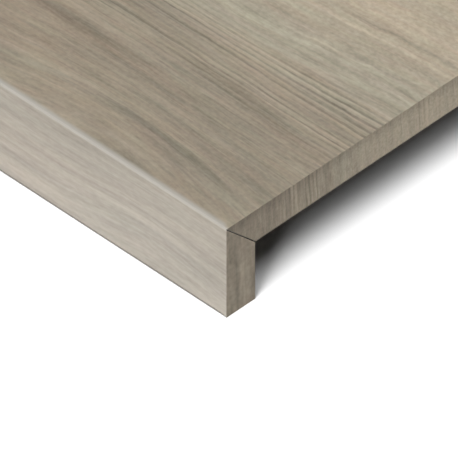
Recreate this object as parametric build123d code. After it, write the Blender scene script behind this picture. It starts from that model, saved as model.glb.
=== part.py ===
from build123d import *

import os
from math import sqrt

# Pool coping tile with a mitred drop edge, in millimetres.
# Two pieces of one wood-look porcelain slab are sawn at 45 degrees and bonded into an L:
# a top slab that beds on the pool wall, and a drop edge that hangs down over its face.
# X runs along the pool edge, Y from the water to the deck, and Z is up.
# The origin is the middle of the footprint, level with the foot of the drop edge.

# The finished tile
tile_length = 600.0  # along the pool edge
tile_width = 300.0  # from the drop face to the back edge
drop_height = 57.0  # from the foot of the drop edge to the walking surface
stock_thickness = 20.0  # the slab that both pieces are sawn from
joint_thickness = 0.6  # resin between the two mitred faces
resin_setback = 1.5  # the resin stops this far short of the sawn ends, which leaves a dark groove
nose_seal = 0.3  # depth of resin behind the nose that does run out to the sawn ends

# Eased front arrises
nose_radius = 1.2  # where the walking surface turns down into the drop face
foot_radius = 0.5  # along the foot of the drop face

# Relief that the press leaves on the back of the stock, to key into mortar
cell_pitch = 28.0
cell_rib = 5.0  # raised rib between two cells
cell_depth = 0.8
cell_draft = 45.0  # slope of a cell's walls, in degrees from the pressing direction
plain_border = 6.0  # least flat margin round the relief

# Planes of the section, as places along Y and Z
front = -tile_width / 2
back = tile_width / 2
top = drop_height
underside = top - stock_thickness
inner_face = front + stock_thickness
joint_step = joint_thickness / sqrt(2)  # the slanting resin line, measured along Y or Z


def section(*corners):
    """A flat shape across the tile, from its (Y, Z) corners."""
    return Plane.YZ * make_face(Polyline(*corners, close=True))


def eased_block():
    """The block that the L is cut out of, with its two front arrises rounded."""
    block = section((front, 0), (back, 0), (back, top), (front, top))
    foot_corner, nose_corner = block.vertices().group_by(Axis.Y)[0].sort_by(Axis.Z)
    block = fillet(nose_corner, nose_radius)
    return fillet(block.vertices().sort_by_distance(foot_corner)[0], foot_radius)


def bar(outline, length):
    """A bar along the pool edge, of the outline's section inside the eased block."""
    return extrude(outline & eased_block(), amount=length / 2, both=True)


def relief_cells(back_face, width):
    """Cells in rows over a back face as long as the tile; the plane's Z points into the stock."""
    columns = int((tile_length - 2 * plain_border + cell_rib) // cell_pitch)
    rows = int((width - 2 * plain_border + cell_rib) // cell_pitch)
    mouth = cell_pitch - cell_rib
    cell = extrude(Rectangle(mouth, mouth), amount=cell_depth, taper=cell_draft)
    return [
        back_face * Pos(cell_pitch * (i - (columns - 1) / 2), cell_pitch * (j - (rows - 1) / 2)) * cell
        for i in range(columns)
        for j in range(rows)
    ]


def top_slab():
    """The walking surface: mitred under its front edge, with the relief on its underside."""
    heel = inner_face + joint_step
    outline = section((front + joint_step, top), (back, top), (back, underside), (heel, underside))
    bedding_face = Plane(origin=(0, (heel + back) / 2, underside), x_dir=(1, 0, 0), z_dir=(0, 0, 1))
    return bar(outline, tile_length) - relief_cells(bedding_face, back - heel)


def drop_edge():
    """The hanging strip: mitred at its head, with the relief on the side towards the wall."""
    head = underside - joint_step
    outline = section((front, 0), (inner_face, 0), (inner_face, head), (front, top - joint_step))
    wall_face = Plane(origin=(0, inner_face, head / 2), x_dir=(1, 0, 0), z_dir=(0, -1, 0))
    return bar(outline, tile_length) - relief_cells(wall_face, head)


def mitre_resin():
    """The bonding resin that fills the mitre from the nose to the inner corner, sealed along the nose."""
    outline = section(
        (front, top - joint_step),
        (front + joint_step, top),
        (inner_face + joint_step, underside),
        (inner_face, underside - joint_step),
    )
    seal_end = front + nose_radius * (1 - sqrt(0.5)) + nose_seal
    seal = outline & section((front, underside), (seal_end, underside), (seal_end, top), (front, top))
    return bar(outline, tile_length - 2 * resin_setback) + bar(seal, tile_length)


pieces = {"top_slab": top_slab(), "drop_edge": drop_edge(), "mitre_resin": mitre_resin()}

os.makedirs("parts", exist_ok=True)
for name, piece in pieces.items():
    export_step(piece, f"parts/{name}.step")
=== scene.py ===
import math

import bpy
import numpy as np
from mathutils import Matrix, Vector


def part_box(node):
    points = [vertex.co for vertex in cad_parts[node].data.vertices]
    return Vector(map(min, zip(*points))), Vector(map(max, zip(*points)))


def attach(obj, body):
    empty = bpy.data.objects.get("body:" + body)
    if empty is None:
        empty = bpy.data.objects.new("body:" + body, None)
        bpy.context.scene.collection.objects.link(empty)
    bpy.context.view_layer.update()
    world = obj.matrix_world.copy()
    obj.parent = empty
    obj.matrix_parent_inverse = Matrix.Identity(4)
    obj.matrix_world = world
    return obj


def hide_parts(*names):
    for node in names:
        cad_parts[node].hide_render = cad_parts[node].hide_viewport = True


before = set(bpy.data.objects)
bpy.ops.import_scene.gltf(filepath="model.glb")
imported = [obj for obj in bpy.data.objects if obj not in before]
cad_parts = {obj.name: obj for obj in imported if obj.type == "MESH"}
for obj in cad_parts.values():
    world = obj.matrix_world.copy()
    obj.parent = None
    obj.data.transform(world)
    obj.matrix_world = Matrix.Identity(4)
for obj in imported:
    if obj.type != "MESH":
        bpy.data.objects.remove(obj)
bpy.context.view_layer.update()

# Top slab
# The walking surface: one slab of pressed porcelain, with an oak print and a low grain relief fired into
# its face. Its front edge is sawn to a 45 degree mitre, and its back keeps the cells that the press left.
MM = 0.001


def corners(node):
    """A piece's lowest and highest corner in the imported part, in millimetres."""
    return [np.array(corner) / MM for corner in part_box(node)]


slab_low, slab_high = corners("top_slab")
drop_low, drop_high = corners("drop_edge")
left, right = slab_low[0], slab_high[0]
front, back = drop_low[1], slab_high[1]
foot, underside, top = drop_low[2], slab_low[2], slab_high[2]
inner_face = drop_high[1]

nose_radius = 1.2
joint_thickness = 0.6
joint_step = joint_thickness / math.sqrt(2)
joint_turn = math.degrees(math.asin(joint_thickness / (2 * nose_radius)))

cell_pitch = 28.0
cell_mouth = 23.0
cell_depth = 0.8
plain_border = 6.0

# Longest mesh faces along the tile, on plain backs, on sawn edges and across the printed face, and the
# number of points round each half of the nose.
along_step = 6.0
back_step = 40.0
edge_step = 4.0
slab_grain_step = 0.6
nose_points = 7

# Finishes by number. Both pieces of porcelain have the printed face and the sawn ends first.
printed, sawn_end = 0, 1
deck_edge, pressed_back, slab_mitre = 2, 3, 4


def steps(start, end, longest):
    """Places from one point to the next, no further apart than longest, without the end itself."""
    start, end = np.array(start, float), np.array(end, float)
    count = max(1, math.ceil(np.linalg.norm(end - start) / longest - 1e-6))
    return start + (end - start) * np.arange(count).reshape(-1, *[1] * start.ndim) / count


def arc(middle, radius, first, last, count):
    """Points round an arc between two angles in degrees, without the last one."""
    turn = np.radians(first + (last - first) * np.arange(count) / count)
    return np.array(middle) + radius * np.stack([np.cos(turn), np.sin(turn)], axis=1)


def cell_middles(width):
    """Middles of the pressed cells across a back face, measured from the middle of the face."""
    count = int((width - 2 * plain_border + cell_pitch - cell_mouth) // cell_pitch)
    return cell_pitch * (np.arange(count) - (count - 1) / 2)


def cell_edges(width):
    """Where the walls of the cells start and end across a back face."""
    half = cell_mouth / 2
    return (cell_middles(width)[:, None] + [-half, cell_depth - half, half - cell_depth, half]).ravel()


def on_cell_floor(place, width):
    """True for the places across a back face that lie on a cell's floor."""
    away = np.abs(np.asarray(place)[..., None] - cell_middles(width)).min(axis=-1)
    return away < cell_mouth / 2 - cell_depth / 2


def bar_stations(longest):
    """Places along the bar that take in every wall of the cells."""
    stops = [left, *((left + right) / 2 + cell_edges(right - left)), right]
    places = [steps(a, b, longest) for a, b in zip(stops, stops[1:])]
    return np.append(np.concatenate(places), right)


def bar(name, runs, stations, press):
    """A closed bar along X. Each run is its points across the bar and its finish, and the runs follow
    each other clockwise as seen from +X. press moves the points that lie on a cell's floor."""
    outline = np.concatenate([points for points, finish in runs])
    finishes = np.concatenate([np.full(len(points), finish) for points, finish in runs])
    points = np.empty((len(stations), len(outline), 3))
    points[..., 0] = stations[:, None]
    points[..., 1:] = outline
    press(points)
    index = np.arange(points[..., 0].size).reshape(points.shape[:2])
    near, far = index[:-1], index[1:]
    sides = np.stack([near, far, np.roll(far, -1, axis=1), np.roll(near, -1, axis=1)], axis=-1)
    faces = sides.reshape(-1, 4).tolist() + [index[0].tolist(), index[-1][::-1].tolist()]
    mesh = bpy.data.meshes.new(name)
    mesh.from_pydata((points.reshape(-1, 3) * MM).tolist(), [], faces)
    side_finishes = np.tile(finishes, len(stations) - 1)
    mesh.polygons.foreach_set("material_index", [*side_finishes, sawn_end, sawn_end])
    mesh.shade_smooth()
    mesh.set_sharp_from_angle(angle=math.radians(30))
    piece = bpy.data.objects.new(name, mesh)
    bpy.context.scene.collection.objects.link(piece)
    return piece


heel = inner_face + joint_step
nose_middle = (front + nose_radius, top - nose_radius)


def press_slab(points):
    """Presses the cells up into the slab's underside."""
    level = np.isclose(points[..., 2], underside)
    across = on_cell_floor(points[..., 1] - (heel + back) / 2, back - heel)
    points[level & across & on_cell_floor(points[..., 0], right - left), 2] += cell_depth


bedding_stops = [(y, underside) for y in (back, *((heel + back) / 2 + cell_edges(back - heel)[::-1]), heel)]
bedding = np.concatenate([steps(a, b, back_step) for a, b in zip(bedding_stops, bedding_stops[1:])])
slab_runs = [
    (arc(nose_middle, nose_radius, 135 - joint_turn, 90, nose_points), printed),
    (steps((front + nose_radius, top), (back, top), slab_grain_step), printed),
    (steps((back, top), (back, underside), edge_step), deck_edge),
    (bedding, pressed_back),
    (np.array([(heel, underside)]), slab_mitre),
]
slab = bar("top_slab_tile", slab_runs, bar_stations(along_step), press_slab)


def feed(tree, socket, value):
    """Sets a socket to a value, or joins it to another node's output."""
    if isinstance(value, bpy.types.NodeSocket):
        tree.links.new(value, socket)
    else:
        socket.default_value = value


def calc(tree, operation, *values):
    """One step of arithmetic in a node tree."""
    node = tree.nodes.new("ShaderNodeMath")
    node.operation = operation
    for socket, value in zip(node.inputs, values):
        feed(tree, socket, value)
    return node.outputs[0]


def total(tree, start, *terms):
    """start plus each (amount, value) multiplied together."""
    for amount, value in terms:
        start = calc(tree, "MULTIPLY_ADD", value, amount, start)
    return start


def ramp(tree, value, low, high):
    """0 below low and 1 above high, with a smooth rise between them."""
    node = tree.nodes.new("ShaderNodeMapRange")
    node.interpolation_type = "SMOOTHSTEP"
    for name, given in (("Value", value), ("From Min", low), ("From Max", high)):
        feed(tree, node.inputs[name], given)
    return node.outputs["Result"]


def hump(tree, value, middle, reach):
    """1 at the middle, falling smoothly to 0 at that reach on both sides."""
    away = calc(tree, "ABSOLUTE", calc(tree, "SUBTRACT", value, middle))
    return calc(tree, "SUBTRACT", 1, ramp(tree, away, 0, reach))


def streaks(tree, along, across, length, width, seed, detail=2.0):
    """Noise drawn out along the grain, about -1 to 1, with marks of that length and width."""
    place = tree.nodes.new("ShaderNodeCombineXYZ")
    feed(tree, place.inputs[0], calc(tree, "DIVIDE", along, length))
    feed(tree, place.inputs[1], calc(tree, "DIVIDE", across, width))
    place.inputs[2].default_value = seed
    noise = tree.nodes.new("ShaderNodeTexNoise")
    noise.inputs["Scale"].default_value = 1.0
    noise.inputs["Detail"].default_value = detail
    tree.links.new(place.outputs[0], noise.inputs["Vector"])
    return calc(tree, "MULTIPLY_ADD", noise.outputs[0], 2, -1)


def measured(tree, place, direction, start):
    """How far a place lies along a direction, counted from start."""
    node = tree.nodes.new("ShaderNodeVectorMath")
    node.operation = "DOT_PRODUCT"
    feed(tree, node.inputs[0], place)
    node.inputs[1].default_value = direction
    return calc(tree, "ADD", node.outputs["Value"], start)


def oak_print(tree, place, lay):
    """The oak print on one face, in millimetres along and across its grain. A lay says how it lies there:
    the ways it is measured in, its seed, how far the grain wanders, fans out and arches, how its growth
    lines are spaced and how strong they are, how calm, loose and colourful it is, and its marks."""
    along = measured(tree, place, lay["along"], lay["along_start"])
    across = measured(tree, place, lay["across"], lay["across_start"])
    seed = lay["seed"]

    # The grain wanders, fans out towards the right-hand end and lifts over an arch near the front.
    waves = total(
        tree,
        0.0,
        (1.1, streaks(tree, along, across, 90, 40, seed + 3)),
        (0.6, streaks(tree, along, across, 14, 8, seed + 5)),
    )
    looser = total(tree, 1.0, (lay["loose"], ramp(tree, across, 100, 140)))
    drawn_out = streaks(tree, along, across, 420, 150, seed)
    wander = total(tree, calc(tree, "MULTIPLY", waves, looser), (lay["wander"], drawn_out))
    flow = calc(tree, "SUBTRACT", across, wander)
    fan = calc(tree, "MULTIPLY", ramp(tree, along, 190, 320), ramp(tree, flow, 88, 125))
    flow = total(tree, flow, (-lay["fan"], fan))
    arch_middle, arch_reach, arch_height = lay["arch"]
    arch = calc(tree, "MULTIPLY", hump(tree, along, arch_middle, arch_reach), hump(tree, flow, 8, 60))
    flow = total(tree, flow, (-arch_height, arch))

    # Growth lines: dark, each with a pale edge. They are faint and broken in the middle of the board,
    # harder in a lower band, and run unbroken in an upper one.
    uneven = streaks(tree, along, flow, 700, 10, seed + 11, 1.0)
    phase = total(tree, calc(tree, "MULTIPLY", flow, 2 * math.pi / lay["spacing"]), (2.4, uneven))
    broken = ramp(tree, streaks(tree, along, flow, 75, 3.4, seed + 17, 2.0), -0.45, 0.2)
    faint = calc(tree, "SUBTRACT", ramp(tree, flow, 25, 70), ramp(tree, flow, 108, 122))
    lower_band = hump(tree, flow, 82, 12)
    upper_band = calc(tree, "SUBTRACT", ramp(tree, flow, 92, 97), ramp(tree, flow, 107, 113))
    unbroken = calc(tree, "MULTIPLY", upper_band, total(tree, 0.5, (0.3, broken)))
    in_the_board = total(tree, 0.0, (lay["faint"], faint), (lay["band"], lower_band))
    strength = total(tree, calc(tree, "MULTIPLY", broken, in_the_board), (lay["band"], unbroken))
    strength = calc(tree, "MULTIPLY", strength, total(tree, 0.8, (0.4, ramp(tree, along, 180, 270))))
    line = calc(tree, "MULTIPLY", ramp(tree, calc(tree, "COSINE", phase), -0.2, 1.0), strength)
    beside = calc(tree, "COSINE", calc(tree, "ADD", phase, 2.5))
    edge = calc(tree, "MULTIPLY", ramp(tree, beside, 0.0, 1.0), strength)

    # Broad early wood, soft streaks, dark hairs, pale flecks, single fibres, pores and a fine mottle.
    # They are widest at the front of the board. In the plain wood far from the bands the streaks fade and
    # the mottle grows.
    grain = calc(tree, "POWER", calc(tree, "MAXIMUM", calc(tree, "ADD", flow, 38), 0), 1.5)
    grain = calc(tree, "DIVIDE", grain, 16.3)
    broad = streaks(tree, along, grain, 110, 13, seed + 23, 2.0)
    soft = streaks(tree, along, grain, 60, 3.6, seed + 29, 3.0)
    hair = ramp(tree, streaks(tree, along, grain, 44, 1.3, seed + 33, 1.0), 0.1, 0.5)
    fleck = ramp(tree, streaks(tree, along, grain, 32, 1.9, seed + 35, 2.0), 0.1, 0.45)
    fibre = streaks(tree, along, grain, 12, 1.0, seed + 31, 2.0)
    pore = ramp(tree, streaks(tree, along, grain, 9, 0.5, seed + 37, 1.0), 0.25, 0.6)
    mottle = streaks(tree, along, across, 2.6, 1.8, seed + 41, 2.0)
    ripple = streaks(tree, along, flow, 11, 3.4, seed + 43, 2.0)
    rippled = calc(tree, "MULTIPLY", ripple, hump(tree, flow, 130, 26))
    streaky = total(
        tree,
        0.0,
        (0.26, broad),
        (0.38, soft),
        (-0.1, hair),
        (0.1, fleck),
        (0.22, fibre),
        (-0.07, pore),
        (-0.27, line),
        (0.16, edge),
    )
    mottled = total(tree, 0.0, (0.22, rippled), (0.22, mottle))
    plain_wood = ramp(tree, flow, 106, 145)
    shade = total(
        tree,
        1.0,
        (total(tree, 1.0, (-lay["calm"], plain_wood)), streaky),
        (total(tree, 1.0, (lay["calm"], plain_wood)), mottled),
    )

    warmth = total(
        tree,
        0.5,
        (0.6 * lay["cast"], streaks(tree, along, grain, 70, 6, seed + 53, 3.0)),
        (0.5 * lay["cast"], streaks(tree, along, grain, 12, 1.6, seed + 57, 2.0)),
    )

    # Places that stand out: middle and reach along, level and half width across, shade and warmth.
    uneven_mark = total(tree, 1.0, (1.2, soft))
    for middle, reach, level, half_width, lighter, warmer in lay["marks"]:
        seen = calc(tree, "MULTIPLY", hump(tree, along, middle, reach), hump(tree, flow, level, half_width))
        shade = total(tree, shade, (lighter, calc(tree, "MULTIPLY", seen, uneven_mark)))
        warmth = total(tree, warmth, (warmer, seen))

    groove = total(tree, 0.0, (1.0, line), (0.4, hair), (0.3, pore), (-0.2, fibre))
    tint = total(tree, 0.5, (1.1 * lay["cast"], streaks(tree, along, grain, 26, 4, seed + 61, 3.0)))
    drift = streaks(tree, along, across, 260, 45, seed + 47)
    return {"flow": flow, "shade": shade, "groove": groove, "warmth": warmth, "tint": tint, "drift": drift}


def carve(piece, lay, depth):
    """Presses the grain of the print into a piece, along its relief directions, and keeps the result."""
    tree = bpy.data.node_groups.new(piece.name + "_relief", "GeometryNodeTree")
    tree.interface.new_socket("Geometry", in_out="INPUT", socket_type="NodeSocketGeometry")
    tree.interface.new_socket("Geometry", in_out="OUTPUT", socket_type="NodeSocketGeometry")
    inlet = tree.nodes.new("NodeGroupInput")
    outlet = tree.nodes.new("NodeGroupOutput")
    moved = tree.nodes.new("GeometryNodeSetPosition")
    relief = tree.nodes.new("GeometryNodeInputNamedAttribute")
    relief.data_type = "FLOAT_VECTOR"
    relief.inputs["Name"].default_value = "relief"
    place = tree.nodes.new("ShaderNodeVectorMath")
    place.operation = "SCALE"
    place.inputs["Scale"].default_value = 1 / MM
    tree.links.new(tree.nodes.new("GeometryNodeInputPosition").outputs[0], place.inputs[0])
    offset = tree.nodes.new("ShaderNodeVectorMath")
    offset.operation = "SCALE"
    tree.links.new(relief.outputs[0], offset.inputs[0])
    groove = oak_print(tree, place.outputs[0], lay)["groove"]
    feed(tree, offset.inputs["Scale"], calc(tree, "MULTIPLY", groove, -depth * MM))
    tree.links.new(inlet.outputs[0], moved.inputs["Geometry"])
    tree.links.new(offset.outputs[0], moved.inputs["Offset"])
    tree.links.new(moved.outputs[0], outlet.inputs[0])
    piece.modifiers.new("relief", "NODES").node_group = tree
    seen = piece.evaluated_get(bpy.context.evaluated_depsgraph_get())
    carved = bpy.data.meshes.new_from_object(seen)
    piece.modifiers.clear()
    piece.data = carved


def mark_relief(piece, direction, weigh):
    """Stores how far each point follows the grain relief, and which way the relief stands."""
    points = np.empty(len(piece.data.vertices) * 3)
    piece.data.vertices.foreach_get("co", points)
    weights = weigh(points.reshape(-1, 3) / MM)
    attribute = piece.data.attributes.new("relief", "FLOAT_VECTOR", "POINT")
    attribute.data.foreach_set("vector", (weights[:, None] * np.array(direction)).ravel())


def rise(value, low, high):
    """0 below low and 1 above high, straight between them."""
    return np.clip((value - low) / (high - low), 0, 1)


def colour_mix(tree, amount, first, second, kind="MIX"):
    """Two colours mixed by an amount from 0 to 1."""
    node = tree.nodes.new("ShaderNodeMix")
    node.data_type = "RGBA"
    node.blend_type = kind
    feed(tree, node.inputs["Factor"], amount)
    # The sockets for colours come after those for numbers and vectors.
    for socket, colour in ((node.inputs[6], first), (node.inputs[7], second)):
        feed(tree, socket, colour)
    return node.outputs[2]


def shaded(tree, colour, shade):
    """A colour made lighter or darker by a factor."""
    node = tree.nodes.new("ShaderNodeVectorMath")
    node.operation = "SCALE"
    feed(tree, node.inputs[0], colour)
    feed(tree, node.inputs["Scale"], shade)
    return node.outputs[0]


def new_finish(name):
    """A material with its tree, its shader and the place on the piece in millimetres."""
    material = bpy.data.materials.new(name)
    material.use_nodes = True
    tree = material.node_tree
    place = tree.nodes.new("ShaderNodeVectorMath")
    place.operation = "SCALE"
    place.inputs["Scale"].default_value = 1 / MM
    tree.links.new(tree.nodes.new("ShaderNodeTexCoord").outputs["Object"], place.inputs[0])
    return material, tree, tree.nodes["Principled BSDF"], place.outputs[0]


# The nose is lighter along its ground arris, and lighter still there as a painted highlight.
arris_corner = 5.0  # the ground arris narrows over this length towards the sawn ends
# A sawn end is painted darker towards its top edge, as painted shade; this is how far down it reaches.
painted_shade_reach = 9.0  # how far the shade of the glaze reaches down a sawn end
ground_arris_painted_highlight = (0.37, 0.348, 0.31, 1.0)
grey_cast = (0.96, 1.014, 1.03, 1.0)
warm_cast = (1.04, 0.98, 0.952, 1.0)
green_cast = (0.99, 1.015, 0.995, 1.0)
pink_cast = (1.01, 0.978, 1.005, 1.0)


def oak_porcelain(name, lay, brown, beige, turn, contrast, arrises=(), top_painted_shade=0.0):
    """Matt porcelain with the oak print: a brown board that turns beige across the given distances.
    Each arris is a band of colour along an edge, here a painted highlight on the ground nose or painted
    shade along the foot: the way and start that its width is measured in, where it fades out, and its
    colour. Its last argument is painted shade that darkens a sawn end towards its top edge."""
    material, tree, shader, place = new_finish(name)
    print_on_face = oak_print(tree, place, lay)
    tone = ramp(tree, print_on_face["flow"], *turn)
    tone = total(tree, tone, (0.22, print_on_face["drift"]))
    cast = colour_mix(tree, print_on_face["warmth"], grey_cast, warm_cast)
    colour = colour_mix(tree, 1.0, colour_mix(tree, tone, brown, beige), cast, "MULTIPLY")
    cast = colour_mix(tree, print_on_face["tint"], green_cast, pink_cast)
    colour = colour_mix(tree, 1.0, colour, cast, "MULTIPLY")
    shade = total(tree, 1 - contrast, (contrast, print_on_face["shade"]))
    # Painted shade: the sawn end darkens towards its top edge.
    if top_painted_shade:
        below_top_share = ramp(tree, measured(tree, place, (0, 0, -1), top), 0.0, painted_shade_reach)
        shade = calc(tree, "MULTIPLY", shade, total(tree, 1 - top_painted_shade, (top_painted_shade, below_top_share)))
    colour = shaded(tree, colour, shade)
    # The arris bands: painted highlight on the ground nose, painted shade along the foot.
    from_middle = calc(tree, "ABSOLUTE", measured(tree, place, (1, 0, 0), 0))
    narrower = ramp(tree, from_middle, right - arris_corner, right)
    for way, start, fade_start, fade_end, arris_colour in arrises:
        width = total(tree, measured(tree, place, way, start), (0.35 * fade_end, narrower))
        arris_band = calc(tree, "SUBTRACT", 1, ramp(tree, width, fade_start, fade_end))
        colour = colour_mix(tree, arris_band, colour, arris_colour)
    feed(tree, shader.inputs["Base Color"], colour)
    feed(tree, shader.inputs["Roughness"], total(tree, 0.66, (0.12, print_on_face["groove"])))
    shader.inputs["Specular IOR Level"].default_value = 0.2
    bump = tree.nodes.new("ShaderNodeBump")
    bump.inputs["Strength"].default_value = 0.5
    bump.inputs["Distance"].default_value = 0.06 * MM
    feed(tree, bump.inputs["Height"], print_on_face["shade"])
    tree.links.new(bump.outputs[0], shader.inputs["Normal"])
    return material


fired_body = (0.20, 0.18, 0.15, 1.0)
kiln_wash = (0.27, 0.245, 0.21, 1.0)


def pressed_body(name):
    """The bare back of the tile: fired body, blotched with pale kiln wash."""
    material, tree, shader, place = new_finish(name)
    x, y = (measured(tree, place, way, 0) for way in ((1, 0, 0), (0, 1, 0)))
    z = measured(tree, place, (0, 0, 1), 0)
    grain = streaks(tree, x, calc(tree, "ADD", y, z), 1.2, 1.2, 3.0, 3.0)
    blotches = streaks(tree, x, calc(tree, "ADD", y, z), 60, 45, 5.0, 3.0)
    colour = colour_mix(tree, total(tree, 0.5, (0.8, blotches)), fired_body, kiln_wash)
    feed(tree, shader.inputs["Base Color"], shaded(tree, colour, total(tree, 1.0, (0.12, grain))))
    shader.inputs["Roughness"].default_value = 0.75
    shader.inputs["Specular IOR Level"].default_value = 0.3
    bump = tree.nodes.new("ShaderNodeBump")
    bump.inputs["Strength"].default_value = 0.6
    bump.inputs["Distance"].default_value = 0.15 * MM
    feed(tree, bump.inputs["Height"], grain)
    tree.links.new(bump.outputs[0], shader.inputs["Normal"])
    return material


# Painted shade: the near black inside the open joint.
deep_joint_shade = (0.008, 0.007, 0.006, 1.0)
joint_shade = (0.02, 0.018, 0.015, 1.0)


def dark_mitre(name):
    """The sawn mitre, painted near black as the shade inside the joint, where it is open at the ends."""
    material, tree, shader, place = new_finish(name)
    along = measured(tree, place, (1, 0, 0), 0)
    blotches = streaks(tree, along, measured(tree, place, (0, 1, -1), 0), 2.0, 2.0, 4.0, 3.0)
    colour = colour_mix(tree, total(tree, 0.5, (0.6, blotches)), deep_joint_shade, joint_shade)
    feed(tree, shader.inputs["Base Color"], colour)
    shader.inputs["Roughness"].default_value = 0.7
    shader.inputs["Specular IOR Level"].default_value = 0.2
    return material


painted_shade_mitre = dark_mitre("painted_shade_mitre")
walking_lay = {
    "along": (1, 0, 0),
    "along_start": 0.0,
    "across": (0, 1, 0),
    "across_start": -front,
    "seed": 1.7,
    "wander": 4.0,
    "fan": 8.0,
    "arch": (205, 130, 17.5),
    "spacing": 3.1,
    "faint": 0.2,
    "band": 1.0,
    "calm": 0.5,
    "loose": 1.8,
    "cast": 1.0,
    "marks": [
        # The dark arch near the front and the streaks below it
        (240, 82, 16.7, 6.0, -0.1, -0.1),
        (205, 28, 16.7, 6.0, -0.14, -0.15),
        (255, 50, 16.7, 6.0, -0.16, -0.15),
        (185, 45, 24.0, 6.0, 0.06, 0.1),
        (150, 50, 9.0, 7.0, -0.05, 0.0),
        (160, 50, 6.3, 1.6, 0.12, 0.0),
        (258, 48, 4.5, 1.5, 0.1, 0.1),
        # The brown middle of the board
        (110, 120, 44.0, 34.0, 0.0, 0.3),
        (135, 65, 60.0, 9.0, -0.38, 0.1),
        (190, 110, 53.0, 11.0, -0.1, 0.1),
        (233, 32, 67.5, 1.3, 0.18, 0.0),
        (165, 50, 82.0, 8.0, 0.08, 0.1),
        # The grey wood past the bands, with its wisps and its two dark streaks
        (200, 400, 123.0, 32.0, 0.12, -0.5),
        (280, 40, 118.0, 8.0, 0.06, 0.0),
        (200, 22, 126.5, 1.6, -0.14, -0.1),
        (235, 60, 129.5, 1.5, 0.2, 0.0),
        (275, 65, 145.5, 6.0, -0.13, 0.0),
        (260, 80, 150.5, 1.8, 0.3, 0.1),
        (265, 85, 157.0, 2.8, -0.3, -0.2),
        # Broad places that are a little paler or darker
        (120, 110, 60.0, 60.0, 0.06, 0.0),
        (265, 60, 48.0, 14.0, -0.03, 0.0),
        (270, 60, 103.0, 12.0, -0.08, 0.0),
        (250, 70, 133.0, 9.0, -0.05, 0.0),
        (230, 45, 7.0, 7.0, -0.08, 0.0),
        (220, 60, 28.0, 7.0, 0.03, 0.0),
    ],
}
# On the sawn ends the grain runs down from the walking face.
end_lay = {
    "along": (0, 0, -2),
    "along_start": right + 2 * top,
    "across": (0, 1.24, 0.06),
    "across_start": 24 - 1.24 * front,
    "seed": 1.7,
    "wander": 0.0,
    "fan": 0.0,
    "arch": (0, 1, 0.0),
    "spacing": 3.4,
    "faint": 0.15,
    "band": 0.7,
    "calm": 0.35,
    "loose": 0.0,
    "cast": 0.5,
    "marks": [
        (310, 200, 30.0, 17.0, 0.07, 0.0),
        (310, 200, 86.0, 12.0, 0.18, 0.0),
        (310, 200, 145.0, 9.0, 0.1, 0.0),
        (310, 200, 170.0, 8.0, -0.1, 0.0),
        (310, 200, 200.0, 11.0, 0.12, 0.1),
        (310, 200, 130.0, 22.0, 0.0, -0.15),
        (310, 200, 178.5, 1.2, -0.1, 0.0),
        (310, 200, 194.0, 1.3, -0.2, 0.0),
    ],
}
no_figure = {"fan": 0.0, "arch": (0, 1, 0.0), "band": 0.0, "marks": []}
deck_edge_lay = {**walking_lay, **no_figure, "across": (0, 0, 1), "seed": 9.1}
oak_brown = (0.261, 0.224, 0.169, 1.0)
oak_beige = (0.39, 0.335, 0.252, 1.0)
end_brown = (0.293, 0.253, 0.198, 1.0)
end_beige = (0.475, 0.415, 0.32, 1.0)
# A band of painted highlight along the nose of the walking face, on its ground arris.
nose_side = ((0, 1, 0), -front, 1.2, 4.4, ground_arris_painted_highlight)
board_turn = (70, 194)
for finish in (
    oak_porcelain("walking_face", walking_lay, oak_brown, oak_beige, board_turn, 0.9, [nose_side]),
    oak_porcelain("sawn_slab_end", end_lay, end_brown, end_beige, (35, 200), 1.0, top_painted_shade=0.22),
    oak_porcelain("deck_edge", deck_edge_lay, oak_brown, oak_beige, (0, 60), 0.8),
    pressed_body("pressed_back"),
    painted_shade_mitre,
):
    slab.data.materials.append(finish)


def slab_relief(points):
    """The relief covers the walking face and fades out towards the nose."""
    return np.isclose(points[:, 2], top) * rise(points[:, 1], front + 2.2, front + 6)


slab_relief_depth = 0.16
mark_relief(slab, (0, 0, 1), slab_relief)
carve(slab, walking_lay, slab_relief_depth)
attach(slab, "root")
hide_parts("top_slab")

# Drop edge
# The strip that hangs over the pool wall, sawn from the same stock, so that its face has the same print.
# It is mitred at its head, bonded to the slab, and its nose and foot are eased with a diamond pad.
foot_radius = 0.5
foot_points = 6
foot_step = 5.0
drop_grain_step = 0.45
head = underside - joint_step
pressed_wall_side, drop_mitre = 2, 3


def press_drop(points):
    """Presses the cells into the side of the drop edge that faces the wall."""
    level = np.isclose(points[..., 1], inner_face)
    up = on_cell_floor(points[..., 2] - (foot + head) / 2, head - foot)
    points[level & up & on_cell_floor(points[..., 0], right - left), 1] -= cell_depth


wall_stops = [(inner_face, z) for z in (head, *((foot + head) / 2 + cell_edges(head - foot)[::-1]), foot)]
wall_side = np.concatenate([steps(a, b, back_step) for a, b in zip(wall_stops, wall_stops[1:])])
foot_middle = (front + foot_radius, foot + foot_radius)
drop_runs = [
    (wall_side, pressed_wall_side),
    (steps((inner_face, foot), (front + foot_radius, foot), foot_step), pressed_wall_side),
    (arc(foot_middle, foot_radius, 270, 180, foot_points), printed),
    (steps((front, foot + foot_radius), (front, top - nose_radius), drop_grain_step), printed),
    (arc(nose_middle, nose_radius, 180, 135 + joint_turn, nose_points), printed),
    (arc(nose_middle, nose_radius, 135 + joint_turn, 135, 1), drop_mitre),
]
drop = bar("drop_edge_tile", drop_runs, bar_stations(along_step), press_drop)

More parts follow.
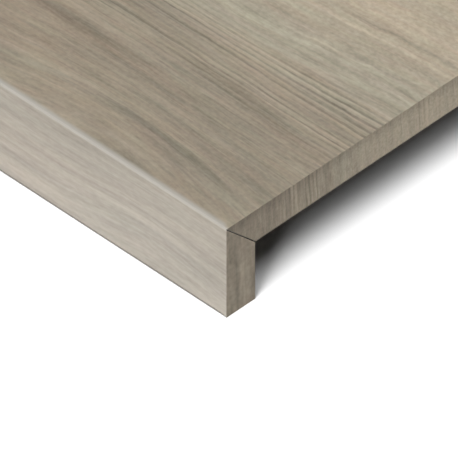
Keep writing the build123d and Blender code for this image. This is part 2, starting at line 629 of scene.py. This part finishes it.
# On the drop face the grain is drawn out along the strip.
face_lay = {
    "along": (0.6, 0, 0),
    "along_start": 0.4 * right,
    "across": (0, 0, 1),
    "across_start": 0.0,
    "seed": 13.3,
    "wander": 1.5,
    "fan": 0.0,
    "arch": (270, 45, 9.0),
    "spacing": 3.0,
    "faint": 0.15,
    "band": 0.0,
    "calm": 0.0,
    "loose": 0.0,
    "cast": 0.4,
    "marks": [
        (285, 36, 18.5, 3.5, -0.2, -0.1),
        (261, 15, 18.5, 3.0, -0.12, -0.1),
        (291, 39, 13.0, 9.0, -0.13, -0.1),
        (264, 36, 8.0, 12.0, -0.1, -0.05),
        (216, 30, 8.0, 10.0, 0.07, 0.2),
        (219, 36, 24.0, 20.0, 0.02, 0.1),
        (277, 39, 52.0, 7.0, 0.13, 0.0),
        (228, 36, 51.0, 6.0, -0.12, 0.0),
    ],
}
drop_end_lay = {
    **end_lay,
    **no_figure,
    "along": (0, 0, -1),
    "along_start": right + top,
    "across": (0, 0.6, 0.03),
    "across_start": -0.6 * front,
    "seed": 21.3,
    "marks": [
        (330, 80, 5.0, 2.4, -0.13, -0.1),
        (330, 80, 8.2, 2.6, 0.08, 0.05),
        (316, 20, 6.0, 12.0, 0.06, 0.0),
    ],
}
face_brown = (0.354, 0.323, 0.276, 1.0)
face_beige = (0.405, 0.37, 0.32, 1.0)
# Painted shade: a dark band along the foot of the drop face.
foot_painted_shade = (0.15, 0.138, 0.118, 1.0)
# The same painted highlight runs along the nose of the drop face.
nose_top = ((0, 0, -1), top, 0.0, 1.6, ground_arris_painted_highlight)
foot_shade_band = ((0, 0, 1), -foot, 0.7, 1.7, foot_painted_shade)
for finish in (
    oak_porcelain("drop_face", face_lay, face_brown, face_beige, (50, 0), 0.68, [nose_top, foot_shade_band]),
    oak_porcelain("sawn_drop_end", drop_end_lay, end_brown, end_beige, (-8, 120), 1.4),
    pressed_body("pressed_wall_side"),
    painted_shade_mitre,
):
    drop.data.materials.append(finish)


def drop_relief(points):
    """The relief covers the drop face and fades out towards the foot and the nose."""
    clear_of_foot = rise(points[:, 2], foot + 1.4, foot + 4)
    clear_of_nose = rise(points[:, 2], top - 2.2, top - 5)
    return np.isclose(points[:, 1], front) * clear_of_foot * clear_of_nose


drop_relief_depth = 0.12
mark_relief(drop, (0, -1, 0), drop_relief)
carve(drop, face_lay, drop_relief_depth)
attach(drop, "root")
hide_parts("drop_edge")

# Mitre resin
# The tinted resin that bonds the two sawn mitres. It is ground flush along the nose and, behind it, stops
# short of the ends, where the open joint shows as a dark line. There, and deep in the joint, it is
# painted near black as painted shade.
resin_dark = (0.29, 0.271, 0.239, 1.0)
resin_pale = (0.337, 0.318, 0.281, 1.0)
material, tree, shader, place = new_finish("tinted_resin")
along_joint = measured(tree, place, (1, 0, 0), 0)
cloud = streaks(tree, along_joint, measured(tree, place, (0, 1, -1), 0), 14, 2.5, 2.0, 3.0)
resin_colour = colour_mix(tree, total(tree, 0.5, (0.5, cloud)), resin_dark, resin_pale)
# Painted shade: the resin turns near black at the ends and deep in the joint.
at_ends = ramp(tree, calc(tree, "ABSOLUTE", along_joint), right - 0.6, right - 0.1)
behind_nose = measured(tree, place, (0, 1, 0), -front)
deep_in = ramp(tree, behind_nose, 0.6, inner_face - front + 2)
in_joint_shade = calc(tree, "MAXIMUM", at_ends, deep_in)
feed(tree, shader.inputs["Base Color"], colour_mix(tree, in_joint_shade, resin_colour, joint_shade))
shader.inputs["Roughness"].default_value = 0.45
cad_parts["mitre_resin"].data.materials.clear()
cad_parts["mitre_resin"].data.materials.append(material)

# Studio
# A white floor under two large softboxes, a key in front on the right and a high one above the right-hand
# end, which give the soft shadow. Far from the tile the floor turns plain white, as the backdrop is.
scene = bpy.context.scene
scene.view_settings.view_transform = "Standard"


def softbox(name, azimuth, elevation, spread, strength):
    """A distant soft light from that azimuth and elevation in degrees, with azimuth 0 in front. It looks
    spread degrees wide, and at strength 1 it shows a surface that faces it in the surface's own colour."""
    lamp = bpy.data.lights.new(name, "SUN")
    lamp.angle = math.radians(spread)
    lamp.energy = strength * math.pi
    light = bpy.data.objects.new(name, lamp)
    turn, lift = math.radians(azimuth), math.radians(elevation)
    towards = Vector((math.sin(turn) * math.cos(lift), -math.cos(turn) * math.cos(lift), math.sin(lift)))
    light.rotation_euler = towards.to_track_quat("Z", "Y").to_euler()
    scene.collection.objects.link(light)
    return light


softbox("key_softbox", 16.6, 37, 26.5, 0.58)
softbox("high_softbox", 43, 69, 31, 0.375)

# Flagged softboxes on all four sides light the tile alone and leave its shadow as it is.
tile_pieces = bpy.data.collections.new("tile_pieces")
for piece in (slab, drop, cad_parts["mitre_resin"]):
    tile_pieces.objects.link(piece)
for flagged in (
    softbox("front_softbox", -12, 12, 30, 0.6),
    softbox("right_softbox", 90, 12, 40, 0.41),
    softbox("back_softbox", 205, 22, 50, 0.37),
    softbox("left_softbox", 275, 14, 40, 0.2),
):
    flagged.light_linking.receiver_collection = tile_pieces


def seen_directly(tree):
    """1 for rays that show the background: from the camera, in a reflection or through glass."""
    rays = tree.nodes.new("ShaderNodeLightPath").outputs
    shown = calc(tree, "MAXIMUM", rays["Is Camera Ray"], rays["Is Glossy Ray"])
    return calc(tree, "MAXIMUM", shown, rays["Is Transmission Ray"])


ambient_strength = 0.014
world = bpy.data.worlds.new("white_studio")
scene.world = world
world.use_nodes = True
tree = world.node_tree
tree.nodes.clear()
ambient = tree.nodes.new("ShaderNodeBackground")
ambient.inputs["Strength"].default_value = ambient_strength
backdrop = tree.nodes.new("ShaderNodeBackground")
for background in (ambient, backdrop):
    background.inputs["Color"].default_value = (1, 1, 1, 1)
mixed = tree.nodes.new("ShaderNodeMixShader")
outlet = tree.nodes.new("ShaderNodeOutputWorld")
feed(tree, mixed.inputs[0], seen_directly(tree))
tree.links.new(ambient.outputs[0], mixed.inputs[1])
tree.links.new(backdrop.outputs[0], mixed.inputs[2])
tree.links.new(mixed.outputs[0], outlet.inputs["Surface"])

# The floor throws little light back on the tile, and where it shows it is bright enough to come out white.
floor_reach = 40.0
floor_gap = 0.0002
floor_bounce = (0.08, 0.08, 0.08, 1)
floor_shown = (1.55, 1.55, 1.55, 1)
all_white_from, all_white_by = 0.45, 0.9
floor_mesh = bpy.data.meshes.new("floor")
floor_corners = [(x * floor_reach, y * floor_reach, 0) for x, y in ((-1, -1), (1, -1), (1, 1), (-1, 1))]
floor_mesh.from_pydata(floor_corners, [], [(0, 1, 2, 3)])
floor = bpy.data.objects.new("floor", floor_mesh)
floor.location.z = foot * MM - floor_gap
scene.collection.objects.link(floor)
floor_finish = bpy.data.materials.new("white_floor")
floor_finish.use_nodes = True
tree = floor_finish.node_tree
tree.nodes.clear()
bounce = tree.nodes.new("ShaderNodeBsdfDiffuse")
bounce.inputs["Color"].default_value = floor_bounce
shown = tree.nodes.new("ShaderNodeBsdfDiffuse")
shown.inputs["Color"].default_value = floor_shown
white = tree.nodes.new("ShaderNodeEmission")
white.inputs["Color"].default_value = (1, 1, 1, 1)
reach = tree.nodes.new("ShaderNodeVectorMath")
reach.operation = "LENGTH"
tree.links.new(tree.nodes.new("ShaderNodeTexCoord").outputs["Object"], reach.inputs[0])
near_to_far = tree.nodes.new("ShaderNodeMixShader")
feed(tree, near_to_far.inputs[0], ramp(tree, reach.outputs["Value"], all_white_from, all_white_by))
tree.links.new(shown.outputs[0], near_to_far.inputs[1])
tree.links.new(white.outputs[0], near_to_far.inputs[2])
by_ray = tree.nodes.new("ShaderNodeMixShader")
feed(tree, by_ray.inputs[0], seen_directly(tree))
tree.links.new(bounce.outputs[0], by_ray.inputs[1])
tree.links.new(near_to_far.outputs[0], by_ray.inputs[2])
outlet = tree.nodes.new("ShaderNodeOutputMaterial")
tree.links.new(by_ray.outputs[0], outlet.inputs["Surface"])
floor_mesh.materials.append(floor_finish)

# Camera
# A long lens at the photograph's angle, aimed so that the near foot corner of the drop edge falls on the
# pixel where the photograph has it.
azimuth, elevation = math.radians(44.54), math.radians(40.93)
pixels = 458
pixels_to_a_millimetre = 2.0472
corner_pixel = (226.45, 317.85)
distance = 9.3
to_camera = Vector(
    (math.sin(azimuth) * math.cos(elevation), -math.cos(azimuth) * math.cos(elevation), math.sin(elevation))
)
facing = to_camera.to_track_quat("Z", "Y")
image_right, image_up = facing @ Vector((1, 0, 0)), facing @ Vector((0, 1, 0))
near_corner = Vector((right, front, foot)) * MM
sideways = (pixels / 2 - corner_pixel[0]) / pixels_to_a_millimetre * MM
upwards = (corner_pixel[1] - pixels / 2) / pixels_to_a_millimetre * MM
aim = near_corner + image_right * sideways + image_up * upwards
lens = bpy.data.cameras.new("camera")
lens.sensor_width = 36.0
lens.lens = lens.sensor_width * distance / (pixels / pixels_to_a_millimetre * MM)
lens.clip_end = 100.0
camera = bpy.data.objects.new("camera", lens)
camera.matrix_world = Matrix.LocRotScale(aim + to_camera * distance, facing, None)
scene.collection.objects.link(camera)
scene.camera = camera
